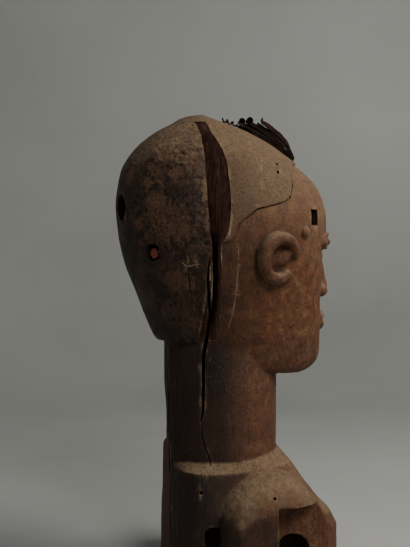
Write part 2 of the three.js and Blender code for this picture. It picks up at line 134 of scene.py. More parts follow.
# The camera: how the photograph was taken, and its frame in pixels.
PHOTO_WIDTH, PHOTO_HEIGHT = 410, 547
FOCAL_PIXELS = 885
CAMERA_SIDE = Vector((-0.954, 0.3007, 0))
CAMERA_AWAY = 708
CAMERA_HEIGHT = 240
CAMERA_TURN = math.radians(1.1)
CAMERA_PLACE = CAMERA_SIDE * CAMERA_AWAY + Vector((0, 0, CAMERA_HEIGHT))
CAMERA_LOOK = Matrix.Rotation(CAMERA_TURN, 3, "Z") @ -CAMERA_SIDE

# The lights as metres to the right of what they aim at, towards the camera and up, their size,
# watts and colour.
LIGHTS_AIM = Vector((0, 0, 0.2))
LIGHTS = (
    ("key", 0.85, 0.28, 0.85, 0.6, 12.5, (1, 0.96, 0.91)),
    ("front", 0.35, 1.0, 0.8, 0.3, 6.5, (1, 0.98, 0.95)),
    ("fill", -0.9, 0.9, 0.5, 1.0, 0.8, (0.95, 0.97, 1)),
)


def spline(values, places):
    """Rows read off a smooth curve through the rows of values, at places from 0 to 1."""
    values = np.asarray(values, float)
    along = np.asarray(places, float) * (len(values) - 1)
    i = np.clip(np.floor(along).astype(int), 0, len(values) - 2)
    t = (along - i)[:, None]
    before, start, end = values[np.maximum(i - 1, 0)], values[i], values[i + 1]
    after = values[np.minimum(i + 2, len(values) - 1)]
    leave, arrive = (end - before) / 2, (after - start) / 2
    return (
        (2 * start - 2 * end + leave + arrive) * t**3
        + (3 * end - 3 * start - 2 * leave - arrive) * t**2
        + leave * t + start
    )


def straight(values, places):
    """Rows read off straight lines between the rows of values, at places of the first column."""
    values = np.asarray(values, float)
    return np.stack([np.interp(places, values[:, 0], column) for column in values.T], 1)


def smoothstep(value, low, high):
    t = np.clip((value - low) / (high - low), 0, 1)
    return t * t * (3 - 2 * t)


def noise(points, size, seed=0):
    """Smooth noise from -1 to 1 at points, with lumps of about that size (one number or x, y, z)."""
    apart, whole_steps, mixer = 31.7, 0xFFFF, 1274126177
    places = np.asarray(points) / np.asarray(size, float) + apart * seed + 500
    cell = np.floor(places).astype(np.int64)
    part = places - cell
    part = part * part * (3 - 2 * part)
    total = np.zeros(len(places))
    for corner in range(8):
        step = np.array((corner & 1, corner >> 1 & 1, corner >> 2))
        mixed = (cell + step) @ np.array((374761393, 668265263, mixer))
        mixed = ((mixed ^ (mixed >> 13)) * mixer) & 0xFFFFFFFF
        value = ((mixed ^ (mixed >> 16)) & whole_steps) / (whole_steps / 2) - 1
        total += value * np.prod(np.where(step, part, 1 - part), axis=1)
    return total


def unit(rows):
    """Vectors brought to a length of 1."""
    return rows / np.linalg.norm(rows, axis=-1, keepdims=True)


def circle(count):
    """The cosines and the sines of equal steps round a circle."""
    turn = np.arange(count) / count * 2 * math.pi
    return np.cos(turn), np.sin(turn)


# Meshes from points in millimetres


def mesh_object(name, points, faces, material=None):
    mesh = bpy.data.meshes.new(name)
    mesh.from_pydata((np.asarray(points, float) * MM).tolist(), [], faces)
    if material:
        mesh.materials.append(material)
    made = bpy.data.objects.new(name, mesh)
    bpy.context.scene.collection.objects.link(made)
    return made


def bands(count, around):
    """The four-sided faces between rings of points that follow one another."""
    low = np.arange((count - 1) * around).reshape(-1, around)
    after = np.roll(low, -1, axis=1)
    return np.stack([low, after, after + around, low + around], 2).reshape(-1, 4)


def loft(name, rings, material=None):
    """A closed body through rings of points, with its faces turned outwards."""
    rings = np.asarray(rings, float)
    count, around = rings.shape[:2]
    points = np.concatenate([rings.reshape(-1, 3), [rings[0].mean(0)], [rings[-1].mean(0)]])
    sides = bands(count, around)
    middle = np.full((around, 1), count * around)
    caps = np.concatenate([
        np.hstack([sides[:around, 1::-1], middle]),
        np.hstack([sides[-around:, :1:-1], middle + 1]),
    ])
    triangles = np.concatenate([sides[:, :3], sides[:, [0, 2, 3]], caps])
    first, second, third = points[triangles].transpose(1, 0, 2)
    if np.sum(first * np.cross(second, third)) < 0:
        sides, caps = sides[:, ::-1], caps[:, ::-1]
    return mesh_object(name, points, [*sides.tolist(), *caps.tolist()], material)


def ring(back, front, side, widest, square, count, height):
    """One ring of the log; square is the front and back power and height(y) its height."""
    cosine, sine = circle(count)
    ahead = cosine > 0
    power = np.where(ahead, 2 / square[0], 2 / square[1])
    across = np.sign(sine) * np.abs(sine) ** power
    along = np.abs(cosine) ** power
    y = np.where(ahead, widest - (front + widest) * along, widest + (back - widest) * along)
    return np.stack([side * across, y, np.broadcast_to(height(y), y.shape)], 1)


def plate(name, outline, from_x, to_x):
    """A plate with a side outline of y and z, from one X to another."""
    return loft(name, [[(x, y, z) for y, z in outline] for x in (from_x, to_x)])


def ellipsoid(name, radii, centre, turn=0.0, segments=48, material=None):
    """An ellipsoid, turned about Z."""
    cosine, sine = circle(segments)
    rows = segments // 2
    rings = [
        np.stack([
            radii[0] * cosine * math.sin(down),
            radii[1] * sine * math.sin(down),
            np.full(segments, radii[2] * math.cos(down)),
        ], 1)
        for down in math.pi * np.arange(1, rows) / rows
    ]
    turned = np.array(Matrix.Rotation(turn, 3, "Z"))
    return loft(name, np.array(rings) @ turned.T + np.array(centre), material)


def frames(path, up):
    """Unit vectors along a path, across it and upwards, from a rough upward direction."""
    along = unit(np.gradient(path, axis=0))
    across = unit(np.cross(np.broadcast_to(up, along.shape), along))
    return along, across, np.cross(along, across)


def sweep(name, path, sections, up, material=None):
    """A body along a path; each section is a ring of points across and upwards."""
    _, across, upwards = frames(path, up)
    rings = [
        point + section[:, :1] * a + section[:, 1:] * u
        for point, section, a, u in zip(path, sections, across, upwards)
    ]
    return loft(name, rings, material)


def oval(half_across, half_up, count=16):
    cosine, sine = circle(count)
    return np.stack([half_across * cosine, half_up * sine], 1)


def tapered_rod(name, points, half_across, half_up, steps, end_share, up):
    """A rod that thins towards both ends, like a lip or a rim."""
    shares = np.linspace(0, 1, steps)
    path = spline(points, shares)
    sizes = end_share + (1 - end_share) * np.sin(math.pi * shares) ** 0.6
    return sweep(name, path, [oval(half_across, half_up) * size for size in sizes], up)


# Cutting, joining and reading meshes


def settle(made):
    """Turns an object's modifiers into its plain mesh."""
    bpy.context.view_layer.update()
    depsgraph = bpy.context.evaluated_depsgraph_get()
    mesh = bpy.data.meshes.new_from_object(made.evaluated_get(depsgraph))
    made.modifiers.clear()
    old = made.data
    made.data = mesh
    bpy.data.meshes.remove(old)


def combine(made, other, how="DIFFERENCE"):
    """Cuts the other body from this one, or joins or crosses the two, and uses the other up."""
    modifier = made.modifiers.new("combine", "BOOLEAN")
    modifier.solver = "MANIFOLD"
    modifier.operation = how
    modifier.material_mode = "TRANSFER"
    modifier.object = other
    settle(made)
    bpy.data.objects.remove(other)
    return made


def mirrored(made):
    """A copy of a body on the other side of the figure, with its faces turned outwards."""
    copy = made.copy()
    copy.data = made.data.copy()
    bpy.context.scene.collection.objects.link(copy)
    copy.data.transform(Matrix.Scale(-1, 4, (1, 0, 0)))
    copy.data.flip_normals()
    return copy


def combine_pair(made, part, how="DIFFERENCE"):
    """Cuts a part of the right side and its mirror image from this body, or joins both to it."""
    combine(made, mirrored(part), how)
    combine(made, part, how)


def moved(made, rotations, place):
    """Turns a body about X, Y and Z by degrees, then shifts it."""
    turn = Matrix.Identity(4)
    for axis, degrees in zip("XYZ", rotations):
        turn = Matrix.Rotation(math.radians(degrees), 4, axis) @ turn
    made.data.transform(Matrix.Translation(Vector(place) * MM) @ turn)
    return made


def points_of(made):
    flat = np.empty(len(made.data.vertices) * 3)
    made.data.vertices.foreach_get("co", flat)
    return flat.reshape(-1, 3) / MM


def normals_of(made):
    flat = np.empty(len(made.data.vertices) * 3)
    made.data.vertex_normals.foreach_get("vector", flat)
    return flat.reshape(-1, 3)


def put_points(made, points):
    made.data.vertices.foreach_set("co", (points * MM).ravel())
    made.data.update()


def surface(made):
    return BVHTree.FromObject(made, bpy.context.evaluated_depsgraph_get())


def seen(px, py):
    """The ray of a pixel of the photograph, as a start and a direction."""
    right = CAMERA_LOOK.cross(Vector((0, 0, 1)))
    aim = (
        CAMERA_LOOK * FOCAL_PIXELS
        + right * (px - PHOTO_WIDTH / 2)
        - Vector((0, 0, 1)) * (py - PHOTO_HEIGHT / 2)
    )
    return CAMERA_PLACE * MM, aim.normalized()


def level_ray(turn, z):
    """The level ray towards the axis from a turn in degrees, 0 in front and 90 on the left."""
    out = Vector((math.sin(math.radians(turn)), -math.cos(math.radians(turn)), 0))
    return (out * 400 + Vector((0, 0, z))) * MM, -out


def landing(tree, ray):
    """Where a ray first meets a surface, with the surface's outward direction there."""
    place, normal, _, _ = tree.ray_cast(*ray)
    return np.array(place) / MM, np.array(normal)


# The carving


def head_rings(stations, count, around_count):
    rows = spline(stations, np.linspace(0, 1, count))
    return [
        ring(back, front, side, widest, HEAD_SQUARENESS, around_count, lambda y: z + tilt * y)
        for z, back, front, side, widest, tilt in rows
    ]


def bare_head():
    return loft("head", head_rings(FACE_RINGS, 130, 240))


def hair():
    made = loft("hair", head_rings(HAIR_RINGS, 120, 240))
    rim = spline(HAIRLINE[RIM_POINTS], np.linspace(0, 1, 90))
    outline = [HAIRLINE[0], *rim.tolist(), *HAIRLINE[RIM_POINTS.stop:]]
    return combine(made, plate("hair_side", outline, -90, 90), "INTERSECT")


def neck():
    foot, top = LEDGE_Z - 20, HAIR_EDGE_Z + 10
    rings = []
    for share in np.linspace(0, 1, 40):
        z = foot + share * (top - foot)
        back = NECK_RADIUS + share * (NECK_BACK_AT_HAIR - NECK_RADIUS)
        rings.append(ring(back, NECK_RADIUS, NECK_RADIUS, 0, OVAL, 160, lambda y: z))
    return loft("neck", rings)


def torso():
    rings = []
    for z, back, front, side in TORSO_RINGS:
        square = TORSO_SQUARENESS if z < LEDGE_Z else OVAL
        rise = LEDGE_RISE * (z / LEDGE_Z) ** 6
        rings.append(ring(
            back, front, side, 0, square, 240,
            lambda y: z + rise * np.maximum(0, -y / NECK_RADIUS),
        ))
    return loft("torso", rings)


def raised_ledge():
    """On the left of the crack down the back, the ledge around the neck rises to the back."""
    rings = [
        ring(
            BACK_Y - inset / 2, 48.4, 50 - inset, 0, TORSO_SQUARENESS, 240,
            lambda y: np.full(y.shape, float(z)),
        )
        for z, inset in ((85, 0), (101, 0), (103.5, 1), (RAISED_LEDGE_Z, 3.4))
    ]
    side = plate("ledge_side", [(16, 80), (60, 80), (60, 110), (34, 110)], SPINE_X, 60)
    return combine(loft("ledge", rings), side, "INTERSECT")


def shoulder():
    """The right shoulder with the upper arm, cut back in front of the arm under the shoulder."""
    middle = (SHOULDER_BACK + SHOULDER_FRONT) / 2
    arc = np.linspace(0, math.pi, 48)
    rise = np.where(arc < math.pi / 2, np.sin(arc) ** SHOULDER_SLOPE, np.sin(arc))
    stations = [(SHOULDER_INSIDE, 0)]
    for turn in np.linspace(0, 1.35, 24):
        x = SHOULDER_OUTSIDE - SHOULDER_ROUND + SHOULDER_ROUND * math.sin(turn)
        stations.append((x, SHOULDER_ROUND * (1 - math.cos(turn))))
    rings = []
    for x, inset in stations:
        half = (SHOULDER_BACK - SHOULDER_FRONT) / 2 - inset * 0.45
        z = SHOULDER_TOP - SHOULDER_ARCH + (SHOULDER_ARCH - inset) * rise
        top = np.stack([np.full(arc.shape, -x), middle - half * np.cos(arc), z], 1)
        rings.append([*top, (-x, middle + half, 0), (-x, middle - half, 0)])
    below, in_front = -5, -110
    cut = [(in_front, below), (ARM_FRONT, below), (ARM_FRONT, OVERHANG_Z), (in_front, OVERHANG_Z)]
    cut_back = plate("cut_back", cut, -SHOULDER_OUTSIDE - 10, -TORSO_FLANK)
    return combine(loft("shoulder", rings), cut_back)


def arm_gap():
    """The opening between arm and torso: square behind the arm, round where it ends in front."""
    radius = (ARCH_BACK - ARCH_FRONT) / 2
    corner = np.radians(np.linspace(0, 90, 12))
    arch = np.radians(np.linspace(0, 180, 32))
    outline = [
        (ARCH_FRONT, -5),
        (GAP_BACK, -5),
        *zip(GAP_BACK - GAP_CORNER * (1 - np.cos(corner)), GAP_TOP - GAP_CORNER * (1 - np.sin(corner))),
        (ARCH_BACK, GAP_TOP),
        *zip(ARCH_BACK - radius * (1 - np.cos(arch)), ARCH_TOP - radius * (1 - np.sin(arch))),
    ]
    return plate("arm_gap", outline, -TORSO_FLANK - CLEARANCE, -GAP_INSIDE)


def ear():
    """A C-shaped ear, open to the front below, with a leaf-shaped lobe in its hollow; on the right."""
    up = (-1, 0, 0)
    angles = np.radians(np.arange(4, 317, 26))
    rim = [
        (-EAR_PROUD * math.sin(a / 2), -EAR_RING * math.cos(a), EAR_RING * 1.02 * math.sin(a))
        for a in angles
    ]
    made = tapered_rod("ear", rim, EAR_RIM + 0.4, EAR_RIM + 0.6, 60, 0.6, up)
    combine(made, ellipsoid("dish", (3.2, 14, 14), (1.5, 0, 0)), "UNION")
    leaf = moved(ellipsoid("leaf", (3.6, 8.4, 4.8), (0, 0, 0)), (-40, 0, 0), (-0.8, -4.0, 0.3))
    fold = [(-2.6, 5.2, -5.0), (-4.4, 1.6, -2.4), (-4.7, -2.0, 1.0), (-3.4, -6.5, 4.6)]
    combine(leaf, tapered_rod("fold", fold, 0.9, 1.1, 30, 0.4, up))
    combine(made, leaf, "UNION")
    return moved(made, (0, -11, 15), (-62, EAR_Y, EAR_Z))


def nose(face_y):
    """A straight nose with full wings and a rounded tip."""
    stations = (
        (NOSE_BASE_Z, 7.5, 3), (NOSE_BASE_Z + 3, 10, 9), (NOSE_BASE_Z + 9, 10.5, 11),
        (NOSE_BASE_Z + 18, 8, 8.6), (EYE_Z - 10, 6.5, 5), (EYE_Z, 6.2, 3), (EYE_Z + 12, 7.5, 0.5),
    )
    rings = []
    for z, side, proud in spline(stations, np.linspace(0, 1, 44)):
        face = -face_y(0, z)
        rings.append(ring(12 - face, face + proud, side, 6 - face, OVAL, 48, lambda y: z))
    made = loft("nose", rings)
    wing_z = NOSE_BASE_Z + 5.5
    wing = ellipsoid("wing", (5.6, 8, 5.4), (-8.2, face_y(9, wing_z) - 1.6, wing_z), 0.3)
    nostril_at = (-5.2, face_y(5, NOSE_BASE_Z) - 4.2, NOSE_BASE_Z - 0.5)
    combine_pair(made, wing, "UNION")
    combine_pair(made, ellipsoid("nostril", (2.3, 3.2, 3.2), nostril_at, 0.3, 24))
    return made


def lips(face_y):
    """Two full closed lips; the upper one dips in the middle."""
    bodies = []
    shapes = ((MOUTH_Z + 1.7, 2.8, 18.5, 4.0, 0.9), (MOUTH_Z - 0.7, -4.4, 17.5, 4.2, 0.0))
    for z, sag, half_width, thick, dip in shapes:
        points = []
        for share in np.linspace(-1, 1, 13):
            x = share * half_width
            height = z + sag * (1 - share**2) - dip * math.exp(-((share / 0.16) ** 2))
            points.append((x, face_y(x, height) - 0.4, height))
        bodies.append(tapered_rod("lip", points, 4.6, thick, 60, 0.25, (0, 0, 1)))
    return combine(bodies[0], bodies[1], "UNION")


def eye(face_y):
    """An almond lid with a rim above and below, in a shallow socket under the brow; on the right."""
    y = face_y(EYE_X, EYE_Z)
    made = ellipsoid("lid", (12, 6, 5.6), (-EYE_X, y + 3, EYE_Z), EYE_TURN, 64)
    for rise, drop in ((6.4, 1.1), (-5.2, 0.8)):
        points = []
        for share in np.linspace(-1, 1, 9):
            x = EYE_X - share * 12.6
            z = EYE_Z + rise * (1 - share**2)
            points.append((-x, face_y(x, z) - 1.6 + 2.7 * share**2, z))
        combine(made, tapered_rod("rim", points, 1.5, drop, 40, 0.35, (0, 0, 1)), "UNION")
    return made


def eye_socket(face_y):
    y = face_y(EYE_X, EYE_Z - 1)
    return ellipsoid("socket", (18, 6, 10), (-EYE_X, y - 1.5, EYE_Z - 1.5), EYE_TURN, 64)


def scars(face_y):
    """The round scars that stand up from the skin: at the root of the nose and on the temples."""
    made = ellipsoid("boss", (6, 9, 9.5), (0, face_y(0, 268) - 0.5, 268), 0, 40)
    combine_pair(made, ellipsoid("knob", (4, 4, 4), (-57.5, -47, 271), 0, 32), "UNION")
    return made


def pupil_place(face_y):
    return -EYE_X - 1, face_y(EYE_X, EYE_Z) - 1.4, EYE_Z


def carving(wood):
    """Head, neck, torso and arms as one body, still without its holes and cracks."""
    head = bare_head()
    tree = surface(head)

    def face_y(x, z):
        start = Vector((x, -300, z)) * MM
        return tree.ray_cast(start, Vector((0, 1, 0)))[0].y / MM

    combine(head, hair(), "UNION")
    combine_pair(head, eye_socket(face_y))
    for part in (eye(face_y), ear()):
        combine_pair(head, part, "UNION")
    for part in (nose(face_y), lips(face_y), scars(face_y)):
        combine(head, part, "UNION")
    body = combine(torso(), neck(), "UNION")
    combine(body, raised_ledge(), "UNION")
    combine_pair(body, shoulder(), "UNION")
    combine_pair(body, arm_gap())
    combine(head, body, "UNION")
    head.data.materials.clear()
    head.data.materials.append(wood)
    return head, pupil_place(face_y)


def even_out(made):
    """Gives the carving an even fine mesh, with edges softened as handling softens them."""
    remesh = made.modifiers.new("even", "REMESH")
    remesh.mode = "VOXEL"
    remesh.voxel_size = VOXEL * MM
    smooth = made.modifiers.new("soften", "SMOOTH")
    smooth.factor = 0.5
    smooth.iterations = SMOOTHING
    settle(made)


def thin_out(made, triangles):
    """Collapses the mesh where it is smooth, down to a number of triangles."""
    count = sum(len(face.vertices) - 2 for face in made.data.polygons)
    decimate = made.modifiers.new("thin", "DECIMATE")
    decimate.ratio = min(1, triangles / count)
    settle(made)


def hair_share(points):
    """1 in the cap of hair and 0 on skin, with a narrow soft edge along the hairline."""
    rim = spline(HAIRLINE[RIM_POINTS], np.linspace(0, 1, 200))
    order = np.argsort(rim[:, 0], kind="stable")
    line = np.interp(points[:, 1], rim[order, 0], rim[order, 1])
    line = np.where(points[:, 1] > NAPE_Y, NAPE_Z, line)
    return smoothstep(points[:, 2] - line, -1.5, 1.5)


def worn_field(points, patches):
    """How near a place is to where the dark crust of the hair is worn off; past 0.5 it is off."""
    field = 0.36 + 0.3 * noise(points, 22, 3) + 0.1 * noise(points, 9, 1)
    frayed = 0.4 * noise(points, 7, 6) + 0.3 * noise(points, 3, 7)
    for place, size in patches:
        gap = np.linalg.norm(points - place, axis=1) / size + frayed
        field = np.maximum(field, 0.95 - 0.45 * gap)
    return field


def behind_split(points):
    """1 on the hair behind the split, where the crust is, and 0 on the hair in front of it."""
    x, y, _ = points.T
    right = smoothstep(y, 23, 27)
    left = smoothstep(y + 9 * noise(points, 14, 4), 2, 34)
    return np.where(x < 0, right, left)


def relief(made, patches):
    """The unevenness of hand work and age: broad lumps, long soft gouges, pits and worn patches."""
    points, normals = points_of(made), normals_of(made)
    in_hair = hair_share(points)
    skin = 1 - in_hair
    foot = smoothstep(points[:, 2], 0.5, 4)
    out = 0.55 * noise(points, 30, 11) + 0.22 * noise(points, 13, 12)
    out += (0.26 * skin + 0.1) * noise(points, (6, 6, 46), 13)
    out += 0.13 * skin * noise(points, (2.6, 2.6, 34), 14)
    crust = in_hair * behind_split(points)
    ragged = worn_field(points, patches) + 0.16 * noise(points, 5, 2) + 0.08 * noise(points, 2.4, 5)
    out -= (0.25 + 0.25 * crust) * in_hair * smoothstep(noise(points, 3.2, 15), 0.45, 0.85)
    out += 0.14 * noise(points, 4.5, 16)
    out -= 0.4 * crust * smoothstep(ragged, 0.46, 0.54)
    upward = smoothstep(normals[:, 2], 0.5, 0.9)
    out *= 1 - 0.45 * upward * (points[:, 2] < LEDGE_Z + 8)
    put_points(made, points + normals * (out * foot)[:, None])


# The split, cracks and holes


def torn(points, width):
    """How torn fibres and the run of the grain shift a wall of the split, along Y."""
    height = points * (0, 0, 1)
    fibres = 0.55 * noise(points, (2.2, 2.2, 40), 21) + 0.45 * noise(points, (1.2, 1.2, 14), 22)
    return width * fibres + 0.3 * noise(height, 16, 23) + 0.2 * noise(height, 5, 24)


def upright_rings(rows, corners_of, counts):
    """Rings along the grain, each a closed line through corners worked out from the row there."""
    low, high = rows[0][0], rows[-1][0]
    rings = []
    for z, *sizes in straight(rows, [*np.arange(low, high, GRAIN_STEP), high]):
        corners = np.array(corners_of(*sizes))
        line = np.concatenate([
            start + (end - start) * (np.arange(count) / count)[:, None]
            for start, end, count in zip(corners, corners[1:], counts)
        ])
        rings.append(np.column_stack([line, np.full(len(line), z)]))
    return np.array(rings)


def splinter_bed(wood):
    """The sunken bed of the lost splinter, with long torn fibres on its floor."""
    outside = 25

    def corners(side, left, right, deep):
        floor = (deep - side, left - deep * SPLIT_SLANT)
        left_wall = (-side - outside, left + outside * SPLIT_SLANT)
        right_wall = ((-side - outside, right - 3), (-side, right), (1.5 - side, right + 1.2))
        return floor, left_wall, *right_wall, floor

    rings = upright_rings(BED, corners, (16, 2, 6, 3, 22))
    flat = rings.reshape(-1, 3)
    flat[:, 1] += torn(flat, 0.35)
    flat[:, 0] += 0.7 * noise(flat, (2.4, 2.4, 38), 25) + 0.35 * noise(flat, (1.3, 1.3, 12), 26)
    return loft("splinter_bed", rings, wood)


def split(wood):
    """The deep drying split, from the hair down the neck."""
    outside = 10

    def corners(side, y, width, deep):
        floor = (deep - side, y - deep * SPLIT_SLANT)
        back, front = y + width / 2, y - width / 2
        slant = outside * SPLIT_SLANT
        mouth = ((-side - outside, back + slant), (-side - outside, front + slant))
        return floor, (-side, back), *mouth, (-side, front), floor

    rings = upright_rings(SPLIT, corners, (14, 4, 2, 4, 14))
    flat = rings.reshape(-1, 3)
    flat[:, 1] += torn(flat, 0.2)
    return loft("split", rings, wood)


def gouge(tree, rays, width, depth, wood, seed=0):
    """A crack or a scored line along the surface, through the places where the rays land."""
    spots = [landing(tree, ray) for ray in rays]
    shares = np.linspace(0, 1, 40)
    line = spline([place for place, _ in spots], shares)
    facing = spline([normal for _, normal in spots], shares)
    line = np.array([tree.find_nearest(Vector(point) * MM)[0] for point in line]) / MM
    line += np.column_stack([noise(line, 4, 31 + seed), noise(line, 4, 32 + seed), 0 * shares]) * 0.3
    size = np.sin(math.pi * np.clip(shares, 0.02, 0.98)) ** 0.5
    size *= 1 + 0.35 * noise(line, 7, 33 + seed)
    groove = np.array(((1.5, 0), (-1.5, 0), (-0.8, -0.35), (0, -1), (0.8, -0.35)))
    proud = np.array(((0, 0.8), (0, 0.8), (0, 0), (0, 0), (0, 0)))
    sections = [groove * (width / 2, depth) * share + proud for share in size]
    return sweep("gouge", line, sections, facing, wood)


def spokes_at(place, count):
    """The level direction out from the axis of the neck at a place, and spokes around it."""
    x, y, _ = place
    out = np.array((x, y, 0)) / math.hypot(x, y)
    level = np.array((-out[1], out[0], 0))
    cosine, sine = circle(count)
    return out, cosine[:, None] * level + sine[:, None] * np.array((0, 0, 1))


def radial_hole(name, radius, depth, place, wood, tree=None, ragged=0.25, seed=0):
    """A round hole that runs inwards from a place of the head towards the axis of the neck."""
    out, spokes = spokes_at(place, 40)
    start = np.array(place, float)
    mouth = depth
    if tree:
        hit, _ = landing(tree, (Vector(start + out * 60) * MM, Vector(-out)))
        mouth = depth - np.dot(start - hit, out)
    rings = []
    for reach in np.linspace(0, 1, 24) * depth:
        flare = 0.9 * np.exp(-((reach - mouth) ** 2) / 2.5) if tree else 0.0
        middle = start - out * (depth - reach)
        rough = ragged * noise(middle + spokes * radius, 3.2, 41 + seed)
        rings.append(middle + spokes * (radius + flare + rough)[:, None])
    return loft(name, rings, wood)


def insect_hole(tree, ray, radius, wood):
    place, normal = landing(tree, ray)
    inwards = unit(-np.array(ray[1]) * 0.4 + normal * 0.6)
    path = np.linspace(place + inwards * 2, place - inwards * 6, 5)
    return sweep("insect_hole", path, [oval(radius, radius, 10)] * 5, (0.1, 0.2, 1), wood)


def square_hole(wood):
    """The square hole over the right temple, as long as a chisel cut goes in."""
    half_across, half_up, reach = 4.5, 6, 12
    turn = np.array((math.cos(math.pi / 4), math.sin(math.pi / 4), 0))
    side = np.array((-turn[1], turn[0], 0)) * half_across
    up = np.array((0, 0, 1)) * half_up
    corners = ((-1, -1), (0, -1), (1, -1), (1, 0), (1, 1), (0, 1), (-1, 1), (-1, 0))
    rings = np.array([
        [np.array(SQUARE_HOLE) + turn * along + side * a + up * b for a, b in corners]
        for along in np.linspace(-reach, reach, 12)
    ])
    flat = rings.reshape(-1, 3)
    flat += 0.7 * np.column_stack([noise(flat, 4, seed) for seed in (51, 52, 53)])
    return loft("square_hole", rings, wood)


def spine_crack(wood):
    """A drying crack down the middle of the back, from under the hair to the cut foot."""
    outside = BACK_Y + 9
    rings = []
    for z in np.arange(-3, HAIR_EDGE_Z + 1, 2.0):
        here = np.array(((0.0, 0.0, z),))
        half = 1.6 + 0.4 * noise(here, 18, 61)[0] - 0.5 * smoothstep(z, 150, 186)
        bend = SPINE_X + 0.9 * noise(here, 40, 62)[0] + 0.3 * noise(here, 9, 63)[0]
        floor = BACK_Y - 2.8 + 0.8 * noise(here, 12, 64)[0]
        low_half, low = half * 0.8, floor + 1.2
        rings.append([
            (bend - half, outside, z), (bend + half, outside, z), (bend + low_half, low, z),
            (bend, floor, z), (bend - low_half, low, z),
        ])
    return loft("spine_crack", rings, wood)


# Places on the photograph, in its pixels
INSECT_HOLES = ((277, 164, 1.1), (278, 172, 1.3), (290, 197, 1.2), (275, 499, 1.2), (201, 493, 1.3))
WORN_PATCHES = (
    (172, 141, 10), (164, 155, 6), (154, 168, 6), (147, 182, 5), (158, 200, 8), (176, 172, 6),
    (168, 224, 10), (180, 230, 8), (160, 262, 7), (176, 280, 9), (190, 285, 6), (168, 312, 8),
    (190, 322, 8), (130, 175, 6), (138, 225, 5),
)
# Cracks and scored lines, each with its width and depth and the places it runs through
DARK_LINES = (
    (1.1, 1.4, ((291, 196), (283, 202), (270, 206), (258, 209), (249, 216), (238, 226))),
    (1.1, 3.5, ((201, 419), (203, 438), (207, 452), (211, 466))),
    (0.9, 0.9, ((291.5, 173), (292.5, 184), (290.5, 196))),
    (0.8, 1.0, ((188, 262), (189, 280), (192, 300), (191, 318))),
    (0.8, 1.2, ((176, 372), (177, 392), (176, 412))),
)
PALE_LINES = (
    (1.1, 0.7, ((239, 245), (238.5, 262), (237, 280), (235.5, 298), (232, 316), (228, 330))),
    (3.0, 0.9, ((230.6, 208), (231.4, 218), (231.2, 227), (229.4, 236))),
    (1.4, 0.5, ((212.4, 279), (212.5, 292), (211.9, 305))),
    (1.3, 0.6, ((221.9, 240), (221.7, 251), (221.4, 263))),
    (3.4, 0.7, ((209.8, 266), (209.0, 273), (209.4, 281))),
    (0.8, 0.3, ((180, 261), (188, 266), (198, 264), (208, 267))),
    (0.7, 0.3, ((186, 254), (189, 261), (187, 268))),
    (0.9, 0.2, ((262, 157), (261.5, 165), (262, 173))),
    (0.8, 0.2, ((262.5, 179), (262, 192))),
)
# Cracks on the sides that the photograph doesn't show, as turns in degrees and heights
FAR_CRACKS = (
    ((118, 180), (117, 158), (119, 135), (116, 112)),
    ((52, 172), (53, 150), (51, 128)),
    ((70, 60), (71, 40), (69, 14)),
    ((150, 340), (147, 318), (149, 296), (146, 270)),
)
FAR_HOLES = ((38, 60, 1.1), (75, 40, 1.3), (130, 150, 1.1), (100, 300, 1.2), (20, 320, 1.0))


def cut_all(made, bed_wood, dark_wood, pale_wood):
    """Opens the split, the cracks and the holes, largest first."""
    tree = surface(made)
    bore_radius, bore_depth = PEG_RADIUS + CLEARANCE, PEG_LENGTH + CLEARANCE
    cuts = [
        splinter_bed(bed_wood),
        split(dark_wood),
        spine_crack(dark_wood),
        radial_hole("back_hole", 9.2, 26, BACK_HOLE, dark_wood, tree, 0.3, 1),
        radial_hole("nape_hole", 6.3, 20, NAPE_HOLE, dark_wood, tree, 1.6, 2),
        radial_hole("peg_bore", bore_radius, bore_depth, PEG_PLACE, dark_wood, None, 0.0),
        square_hole(dark_wood),
    ]
    for lines, wood in ((DARK_LINES, dark_wood), (PALE_LINES, pale_wood)):
        for k, (width, depth, places) in enumerate(lines):
            cuts.append(gouge(tree, [seen(*place) for place in places], width, depth, wood, k))
    for k, places in enumerate(FAR_CRACKS):
        cuts.append(gouge(tree, [level_ray(*place) for place in places], 0.9, 3, dark_wood, 20 + k))
    for ray_of, holes in ((seen, INSECT_HOLES), (level_ray, FAR_HOLES)):
        for first, second, radius in holes:
            cuts.append(insect_hole(tree, ray_of(first, second), radius, dark_wood))
    for cut in cuts:
        combine(made, cut)


# Masks that the wood's material reads
WOOD_MASKS = ("hair", "crust", "worn", "dust", "warm", "painted_shade", "speckled", "edge", "crease_shade_and_ring")


def put_mask(made, name, values):
    """Gives a mesh a value from 0 to 1 at each point, which its material reads."""
    attribute = made.data.attributes.new(name, "FLOAT", "POINT")
    attribute.data.foreach_set("value", np.clip(values, 0, 1).astype(np.float32))


def bends(made, points, normals):
    """How far each point lies above the middle of its neighbours, in millimetres, smoothed."""
    edges = np.empty(len(made.data.edges) * 2, int)
    made.data.edges.foreach_get("vertices", edges)
    first, second = edges.reshape(-1, 2).T
    count = np.maximum(np.bincount(edges, minlength=len(points)), 1)

    def nearby(values):
        total = np.bincount(first, values[second], len(points))
        total += np.bincount(second, values[first], len(points))
        return total / count

    middle = np.stack([nearby(column) for column in points.T], 1)
    height = np.einsum("ij,ij->i", points - middle, normals)
    for _ in range(4):
        height = 0.5 * height + 0.5 * nearby(height)
    return height


